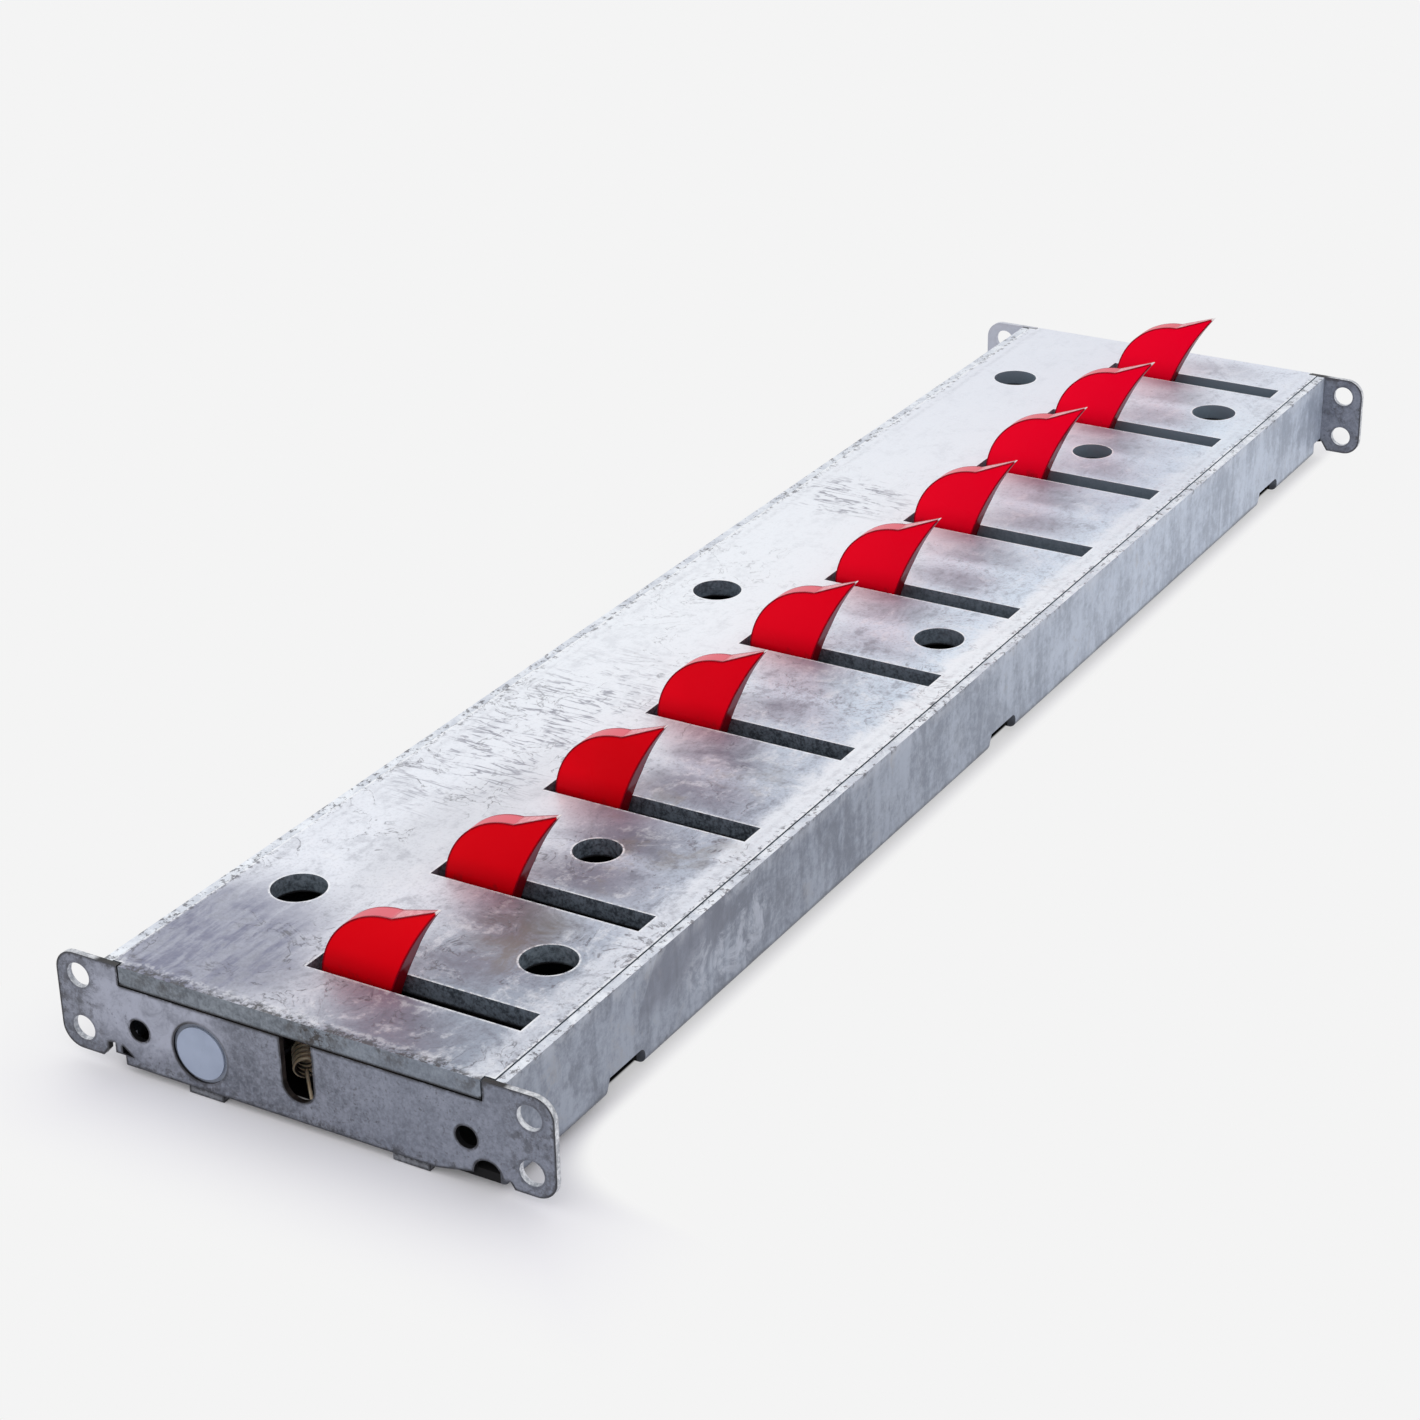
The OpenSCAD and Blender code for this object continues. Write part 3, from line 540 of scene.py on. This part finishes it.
# Straw-coloured spring wire, with painted shade on its flanks between the curls
def spring_steel():
    s = Shade("spring_steel")
    film = s.noise(130, 4, 0.6, 0.3)
    fine = s.noise(900, 2, 0.6)
    color = s.mix(s.band(film, 0.3, 0.7), (0.78, 0.62, 0.42), (0.95, 0.83, 0.64))
    flank_shade = s.band(s.absolute(s.normal()[1]), 0.40, 0.80)
    color = s.mix(flank_shade, color, (0.022, 0.016, 0.012))
    return s.finish(color, s.band(fine, 0.3, 0.7, 0.26, 0.40), 0.1, s.bump(fine, 0.12, 0.0002))


# The spring eye of tooth k, in Y and Z: a tooth that stands higher is turned about the pivot
def spring_eye(k):
    from_end = min(k, TEETH + 1 - k)
    lift = math.radians(0 if from_end == 1 else NEXT_LIFT if from_end == 2 else MIDDLE_LIFT)
    pivot = Vector(PIVOT)
    d = Vector(EYE) - pivot
    turned = (d.x * math.cos(lift) + d.y * math.sin(lift), d.y * math.cos(lift) - d.x * math.sin(lift))
    return pivot + Vector(turned)


# Springs: the same wire as in the part, round and with finer curls
WIRE_R, WIRE_SIDES = 0.001, 12
CURL_R, CURL_PITCH, CURLS, CURL_STEPS = 0.0056, 0.0034, 5, 28
TAPER_STEPS, TAPER_STEPS_PER_TURN, TAPER_WAVE = 9, 34, 10.2
HOOK_YZ = (-0.003, 0.01275)  # where the wire starts, behind the plate or rib in front of it
LEG, CURLS_FROM, BEND_FROM = 0.0225, 0.027, 0.0465  # along the spring: straight leg, curls, bending part
EYE_SIDE = 0.005  # half a tooth's thickness


# The wire's middle line, from the hook to the eye, with the direction of the spring
def spring_line(k):
    x0 = (k - 1) * PITCH - END_X
    start = Vector((x0 + PLATE, *HOOK_YZ))
    end = Vector((x0 + PITCH / 2 - EYE_SIDE, *spring_eye(k)))
    way = (end - start).normalized()
    side = way.cross(Vector((0, 0, 1))).normalized()
    up = side.cross(way)
    hop = Vector((2 * WIRE_R, 0, 0))

    def curl(t, r):
        turn = 2 * math.pi * t
        return start + way * (CURLS_FROM + CURL_PITCH * t) + r * (side * math.cos(turn) + up * math.sin(turn))

    def wave(i):
        return 0.5 * math.cos(math.pi * i / TAPER_WAVE)

    pts = [start, start + hop * 0.6, start + hop + way * 0.0006, start + hop + way * 0.003]
    pts += [start + way * LEG]
    for i in range(TAPER_STEPS):
        pts.append(curl((i - TAPER_STEPS) / TAPER_STEPS_PER_TURN, CURL_R * (0.5 - wave(i + 1))))
    pts += [curl(i / CURL_STEPS, CURL_R) for i in range(CURLS * CURL_STEPS + 1)]
    for i in range(1, TAPER_STEPS + 1):
        pts.append(curl(CURLS + i / TAPER_STEPS_PER_TURN, CURL_R * (0.5 + wave(i))))
    pts += [end - hop - way * 0.0022, end - hop - way * 0.0005, end - hop * 0.55, end, end + hop]
    return pts, start, end, way


# A round tube along the wire's middle line
def spring_mesh(k, pts):
    verts, faces = [], []
    normal = Vector((0, 0, 1))
    for i, p in enumerate(pts):
        d = (pts[min(i + 1, len(pts) - 1)] - pts[max(i - 1, 0)]).normalized()
        normal = (normal - d * normal.dot(d)).normalized()
        other = d.cross(normal)
        for j in range(WIRE_SIDES):
            a = 2 * math.pi * j / WIRE_SIDES
            verts.append(p + WIRE_R * (normal * math.cos(a) + other * math.sin(a)))
    for i in range(len(pts) - 1):
        for j in range(WIRE_SIDES):
            p, q = i * WIRE_SIDES + j, i * WIRE_SIDES + (j + 1) % WIRE_SIDES
            faces.append((p, p + WIRE_SIDES, q + WIRE_SIDES, q))
    faces.append(tuple(range(WIRE_SIDES)))
    faces.append(tuple(reversed(range(len(verts) - WIRE_SIDES, len(verts)))))
    mesh = bpy.data.meshes.new(f"spring_{k}")
    mesh.from_pydata(verts, [], faces)
    mesh.polygons.foreach_set("use_smooth", [True] * len(faces))
    return mesh


def make_springs(material):
    for k in range(1, TEETH + 1):
        pts, start, end, way = spring_line(k)
        mesh = spring_mesh(k, pts)
        mesh.materials.append(material)
        coil = bpy.data.objects.new(f"spring_{k}", mesh)
        scene.collection.objects.link(coil)
        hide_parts(f"return_spring_{k}")
        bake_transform(coil)


def dress(material, *names):
    for name in names:
        mesh = nodes[name].data
        mesh.materials.clear()
        mesh.materials.append(material)


def dress_all():
    teeth = [f"tooth_{k}" for k in range(1, TEETH + 1)]
    foot = zinc("foot_zinc", (0.24, 0.25, 0.28), (0.10, 0.105, 0.12),
                rough=(0.55, 0.7), metal=0.25, cloud=60.0, speckle=0.5, edge_shade=0.9)
    # Painted shade: the ribs inside the strip get a near-black zinc
    inner = zinc("rib_zinc", (0.030, 0.032, 0.036), (0.012, 0.012, 0.014), rough=(0.5, 0.66))
    shaft = zinc("shaft_zinc", (0.22, 0.22, 0.23), (0.10, 0.10, 0.11),
                 rough=(0.32, 0.44), metal=0.5, cloud=80.0)
    collar = zinc("collar_black", (0.05, 0.05, 0.055), (0.02, 0.02, 0.023),
                  rough=(0.42, 0.55), cloud=90.0)
    dress(cover_zinc(), "cover_plate")
    dress(wall_zinc(), "side_channel_left", "side_channel_right")
    dress(plate_zinc(), "end_plate_near", "end_plate_far")
    dress(foot, "foot_strip_left", "foot_strip_right")
    dress(inner, *[f"rib_{k}" for k in range(1, TEETH)])
    dress(shaft, "pivot_shaft")
    dress(collar, "shaft_collars")
    dress(nylon("bush_nylon", (0.345, 0.40, 0.52), (0.29, 0.34, 0.45)), "end_bush_near", "end_bush_far")
    dress(nylon("sleeve_nylon", (0.60, 0.60, 0.57), (0.50, 0.50, 0.47)), "pivot_sleeves")
    dress(red_enamel(), *teeth)


# The floor: even white, except for a soft shadow round the object and a near-black ground painted as shade
# under it
FLOOR_HALF, FLOOR_Z = 9.0, -0.0004
SHADOW_LEFT, SHADOW_RIGHT, SHADOW_REACH = 0.118, 0.110, 0.090  # where the shadow starts, and its width
GROUND_X, GROUND_Y = 0.480, 0.1035  # half the size of the dark ground


def floor_look():
    s = Shade("studio_floor")
    x, y = s.axes()[:2]
    lengthwise, lateral = s.absolute(x), s.absolute(y)
    ray = s.node("LightPath").outputs
    seen = s.most(ray["Is Camera Ray"], s.most(ray["Is Glossy Ray"], ray["Is Transmission Ray"]))
    on_right = s.mul(s.add(s.mul(y, -1.0), -SHADOW_RIGHT), s.band(x, -0.49, -0.42, 0.8, 9.0))
    beyond = s.most(s.most(s.add(y, -SHADOW_LEFT), on_right), s.add(lengthwise, -END_X))
    strength = s.mul(s.band(x, -0.46, -0.36, 0.90, 0.45), s.band(y, 0.10, 0.15, 1.0, 0.45))
    shaded = s.mul(s.band(beyond, 0.0, SHADOW_REACH, 1.0, 0.0), strength)
    # Painted shade: the floor under the object is near-black
    shade_under = s.band(s.most(s.add(lengthwise, -GROUND_X), s.add(lateral, -GROUND_Y)), 0.0, -0.002)
    soft = s.node("BsdfDiffuse")
    s.put(soft, "Color", s.mix(shade_under, (0.89, 0.88, 0.93), (0.008, 0.008, 0.009)))
    flat = s.node("Emission")
    s.put(flat, "Color", WHITE)
    mixed = s.node("MixShader")
    s.put(mixed, 0, s.mul(s.inverse(s.most(shaded, shade_under)), seen))
    s.tree.links.new(soft.outputs[0], mixed.inputs[1])
    s.tree.links.new(flat.outputs[0], mixed.inputs[2])
    s.tree.links.new(mixed.outputs[0], s.out.inputs[0])
    return s.mat


def make_stage():
    mesh = bpy.data.meshes.new("floor")
    corners = [(-1, -1), (1, -1), (1, 1), (-1, 1)]
    mesh.from_pydata([(a * FLOOR_HALF, b * FLOOR_HALF, FLOOR_Z) for a, b in corners], [], [(0, 1, 2, 3)])
    mesh.materials.append(floor_look())
    floor = bpy.data.objects.new("floor", mesh)
    scene.collection.objects.link(floor)

    world = bpy.data.worlds.new("studio")
    scene.world = world
    world.use_nodes = True
    surround = world.node_tree.nodes["Background"]
    surround.inputs["Color"].default_value = WHITE
    surround.inputs["Strength"].default_value = 1.0


def lamp(name, place, aim, size, power):
    data = bpy.data.lights.new(name, "AREA")
    data.shape = "RECTANGLE"
    data.size, data.size_y = size
    data.energy = power
    obj = bpy.data.objects.new(name, data)
    obj.location = place
    obj.rotation_mode = "QUATERNION"
    obj.rotation_quaternion = (Vector(aim) - Vector(place)).to_track_quat("-Z", "Y")
    scene.collection.objects.link(obj)


scene.view_settings.view_transform = "Standard"
make_camera()
dress_all()
make_springs(spring_steel())
make_stage()
lamp("key", (0.9, 1.6, 1.7), (0.0, 0.0, 0.0), (1.6, 1.2), 4)
lamp("fill", (-1.7, -0.9, 1.6), (-0.2, 0.0, 0.0), (1.4, 1.4), 3)
